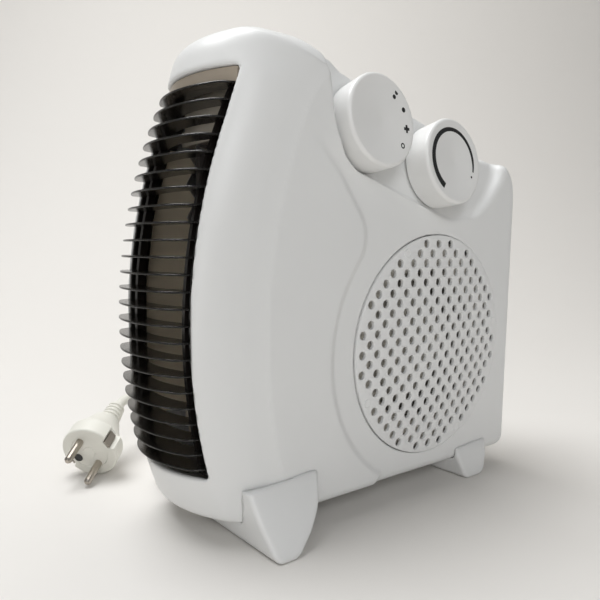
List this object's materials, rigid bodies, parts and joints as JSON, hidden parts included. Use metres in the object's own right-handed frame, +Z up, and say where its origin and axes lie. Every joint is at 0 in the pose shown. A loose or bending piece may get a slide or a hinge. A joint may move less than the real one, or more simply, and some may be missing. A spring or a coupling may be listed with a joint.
{
  "type": "ceramic fan heater",
  "caption": "Slim upright ceramic fan heater with a tall finned outlet, round side intake, side knobs, cross feet and a mains lead with a plug.",
  "frame": {"origin": "on the floor, under the middle of the heater without its lead", "axes": "+X towards the side with the knobs and the round intake, -Y towards the warm-air outlet, +Z up"},
  "size_m": [0.2317, 0.3523, 0.25],
  "materials": {
    "housing": "satin white moulded ABS",
    "knob": "satin white with printed marks",
    "foot": "satin white",
    "intake_grille": "satin white, perforated",
    "smoked_grille": "smoked translucent",
    "mica": "matt brown insulating sheet",
    "ptc_ceramic": "matt dark grey",
    "ceramic_insulator": "matt cream",
    "aluminium": "satin",
    "heat_resistant_plastic": "matt cream",
    "duct_plastic": "matt off-white",
    "wheel_plastic": "matt off-white",
    "dark_plastic": "matt black",
    "switch_plastic": "matt cream",
    "steel": "zinc plated",
    "core_steel": "plain",
    "bimetal": "plain",
    "copper": "enamelled copper wire",
    "brass": "satin",
    "chrome": "nickel plated",
    "rubber": "matt",
    "cord_plastic": "off-white flexible PVC",
    "plug_plastic": "off-white moulded",
    "tie": "black wire tie"
  },
  "bodies": {
    "heater": {"near_housing": "housing", "far_housing": "housing", "outlet_grille": "smoked_grille", "intake_grille": "intake_grille", "rotary_switch": "dark_plastic", "thermostat": "ceramic_insulator", "bimetal_strip": "bimetal", "heater_frame_top": "heat_resistant_plastic", "heater_frame_bottom": "heat_resistant_plastic", "near_mica_sheet": "mica", "far_mica_sheet": "mica", "thermal_cutout": "dark_plastic", "air_duct": "duct_plastic", "inlet_ring": "duct_plastic", "motor_stator": "core_steel", "rear_winding": "copper", "front_winding": "copper", "rear_end_bell": "aluminium", "front_end_bell": "aluminium", "rear_bearing": "brass", "front_bearing": "brass", "motor_mount": "core_steel", "front_foot": "foot", "rear_foot": "foot", "strain_relief": "cord_plastic", "cord_clamp": "dark_plastic", "terminal_block": "switch_plastic", "cord_lead": "cord_plastic", "cord_tail": "cord_plastic", "cord_coil": "cord_plastic", "cord_tie": "tie", "plug_body": "plug_plastic", "plug_pin_1": "chrome", "plug_pin_2": "chrome", "earth_clip_1": "chrome", "earth_clip_2": "chrome", "ptc_bar_1": "ptc_ceramic", "ptc_bar_2": "ptc_ceramic", "ptc_bar_3": "ptc_ceramic", "fin_pack_1": "aluminium", "rest_pad_1": "rubber", "fin_pack_2": "aluminium", "rest_pad_2": "rubber", "fin_pack_3": "aluminium", "rest_pad_3": "rubber", "fin_pack_4": "aluminium", "rest_pad_4": "rubber", "housing_screw_1": "steel", "housing_screw_2": "steel", "housing_screw_3": "steel", "housing_screw_4": "steel", "housing_screw_5": "steel", "housing_screw_6": "steel"},
    "function_control": {"function_knob": "knob", "function_shaft": "switch_plastic"},
    "thermostat_control": {"thermostat_knob": "knob", "thermostat_shaft": "brass"},
    "fan": {"blower_wheel": "wheel_plastic", "motor_shaft": "steel", "motor_rotor": "steel"}
  },
  "joints": [
    {"name": "function_turn", "type": "hinge", "parent": "heater", "child": "function_control", "pos_m": [0.03476, -0.0137, 0.21], "axis": [-0.9848, 0, -0.1736], "range_deg": [0, 90]},
    {"name": "thermostat_turn", "type": "hinge", "parent": "heater", "child": "thermostat_control", "pos_m": [0.03751, 0.0425, 0.1944], "axis": [-0.9848, 0, -0.1736], "range_deg": [0, 260]},
    {"name": "fan_spin", "type": "hinge", "parent": "heater", "child": "fan", "pos_m": [0, 0.0445, 0.091], "axis": [1, 0, 0], "continuous": true}
  ]
}
